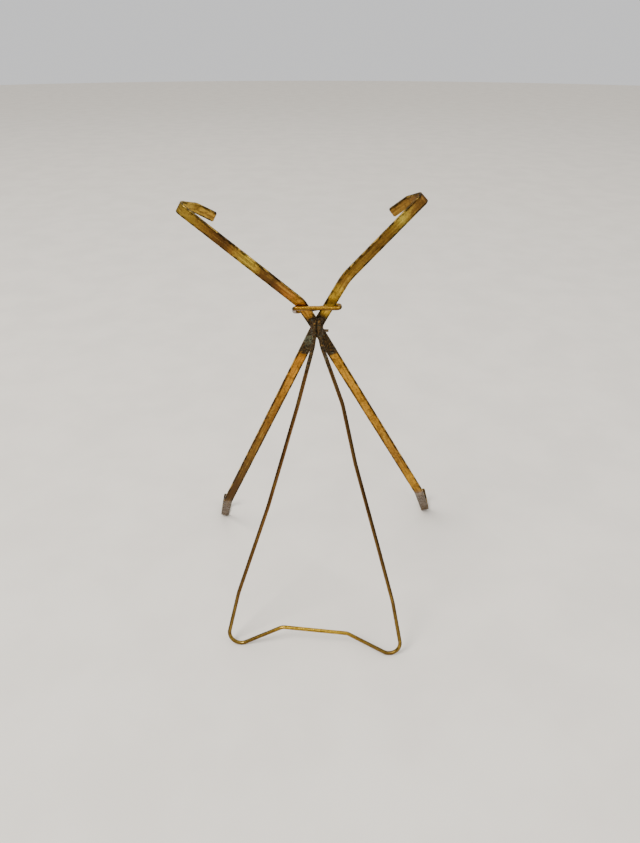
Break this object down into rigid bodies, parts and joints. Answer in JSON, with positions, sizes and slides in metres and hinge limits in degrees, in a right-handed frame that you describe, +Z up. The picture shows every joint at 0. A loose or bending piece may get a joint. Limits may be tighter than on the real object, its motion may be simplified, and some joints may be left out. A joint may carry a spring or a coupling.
{
  "type": "plate display stand",
  "caption": "Folding brass easel stand: crossed flat strips with hooks for a plate's rim, a hinged wire leg behind and a wire ring at the neck.",
  "frame": {"origin": "on the table, under the middle of the stand's bounding box", "axes": "+Z up; the plate stands on the -Y side and the leg is on the +Y side; +X is to the right of someone facing the plate"},
  "size_m": [0.1346, 0.1234, 0.2077],
  "materials": {
    "strip_brass": "worn, patchy brown tarnish",
    "tarnished_brass": "black-brown tarnish with verdigris",
    "ring_brass": "rubbed bright",
    "leg_brass": "brown tarnish, rubbed at the feet"
  },
  "bodies": {
    "frame": {"rear_strip": "strip_brass", "pivot_rivet": "tarnished_brass", "spacer_washer": "tarnished_brass", "hinge_saddle": "tarnished_brass", "hinge_pin": "tarnished_brass"},
    "scissor_arm": {"front_strip": "strip_brass"},
    "leg": {"easel_leg": "leg_brass"},
    "ring": {"slip_ring": "ring_brass"}
  },
  "joints": [
    {"name": "scissor", "type": "hinge", "parent": "frame", "child": "scissor_arm", "pos_m": [0.00539, 0.00136, 0.1514], "axis": [0, 0.9845, -0.1754], "range_deg": [0, 35]},
    {"name": "leg_hinge", "type": "hinge", "parent": "frame", "child": "leg", "pos_m": [0.00539, 0.00674, 0.15196], "axis": [1, 0, 0], "range_deg": [-28, 0]},
    {"name": "ring_slide", "type": "slide", "parent": "frame", "child": "ring", "axis": [0, 0.1754, 0.9845], "range_m": [-0.0035, 0]}
  ]
}
